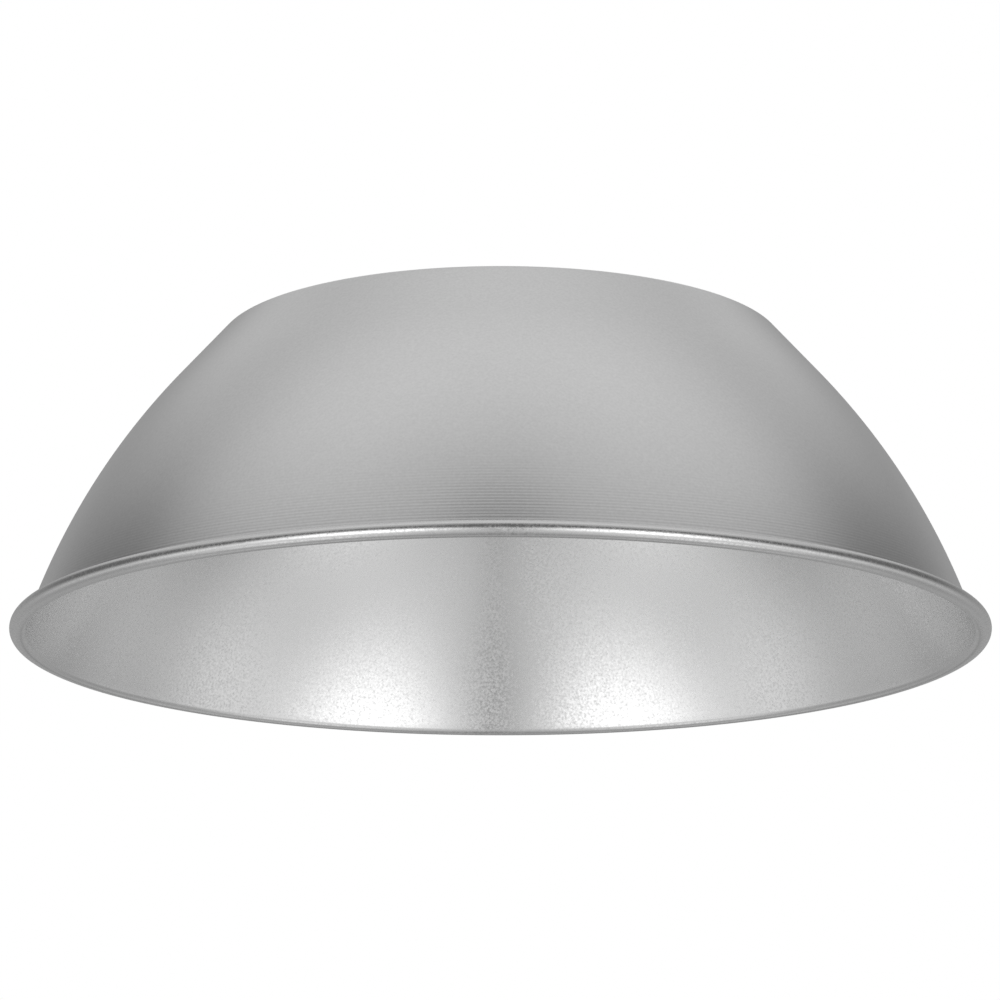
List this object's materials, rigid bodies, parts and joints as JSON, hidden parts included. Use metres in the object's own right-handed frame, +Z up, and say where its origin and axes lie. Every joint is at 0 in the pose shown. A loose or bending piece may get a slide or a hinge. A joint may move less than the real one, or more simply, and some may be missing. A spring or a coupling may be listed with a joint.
{
  "type": "heat lamp fixture",
  "caption": "Wide spun reflector shade with a rolled rim on a vented crown plate, with a porcelain lamp socket, a domed wiring cover, a cable gland and a folding wire bail.",
  "frame": {"origin": "centre of the shade's mouth, on the plane its rolled rim rests on", "axes": "+Z up along the lamp axis from mouth to crown, +Y towards the cable gland, X along the bail's pivots"},
  "size_m": [0.41, 0.4099, 0.16],
  "materials": {
    "spun_aluminium": "satin outside with fine circumferential spinning lines, dull etched grain inside",
    "plated_steel": "bright zinc plate on pressed strip and sheet",
    "plated_fixings": "bright zinc plate",
    "bail_wire": "drawn wire, zinc plated",
    "cover_paint": "fine textured grey powder coat",
    "porcelain": "white glaze",
    "block_ceramic": "unglazed steatite",
    "nickel_brass": "nickel plate",
    "plain_brass": "plain brass",
    "spring_steel": "drawn spring wire",
    "gasket_rubber": "matt silicone rubber",
    "brown_silicone": "semi-matt silicone insulation",
    "blue_silicone": "semi-matt silicone insulation",
    "green_yellow_silicone": "semi-matt silicone insulation, striped",
    "tinned_copper": "dull tin plate"
  },
  "bodies": {
    "fixture": {"reflector_shade": "spun_aluminium", "mounting_plate": "plated_steel", "shade_screws": "plated_fixings", "shade_washers": "plated_fixings", "shade_nuts": "plated_fixings", "lampholder_bracket": "plated_steel", "bracket_rivets": "plated_fixings", "lampholder_body": "porcelain", "lampholder_base": "porcelain", "screw_shell": "nickel_brass", "shell_screws": "nickel_brass", "contact_spring": "spring_steel", "phase_terminal": "plain_brass", "neutral_terminal": "plain_brass", "holder_terminal_screws": "nickel_brass", "holder_screws": "plated_fixings", "terminal_block": "block_ceramic", "block_clamps": "plain_brass", "block_clamp_screws": "plated_fixings", "block_screws": "plated_fixings", "block_nuts": "plated_fixings", "phase_wire": "brown_silicone", "neutral_wire": "blue_silicone", "earth_wire": "green_yellow_silicone", "wire_ferrules": "tinned_copper", "earth_lug": "tinned_copper", "earth_screw": "plated_fixings", "earth_nut": "plated_fixings", "terminal_cover": "cover_paint", "cover_gasket": "gasket_rubber", "cover_screws": "plated_fixings", "cover_nuts": "plated_fixings", "gland_body": "nickel_brass", "gland_locknut": "nickel_brass", "gland_seal": "gasket_rubber", "gland_nut": "nickel_brass", "bail_ear_left": "plated_steel", "bail_ear_right": "plated_steel", "ear_rivets": "plated_fixings"},
    "bail": {"bail": "bail_wire", "bail_retainers": "spring_steel"},
    "contact": {"contact_plunger": "plain_brass"}
  },
  "joints": [
    {"name": "bail_swing", "type": "hinge", "parent": "fixture", "child": "bail", "pos_m": [0, 0, 0.1375], "axis": [1, 0, 0], "range_deg": [0, 184]},
    {"name": "contact_press", "type": "slide", "parent": "fixture", "child": "contact", "axis": [0, 0, 1], "range_m": [0, 0.0015], "stiffness_N_per_m": 1500, "deforming": ["contact_spring"]}
  ]
}
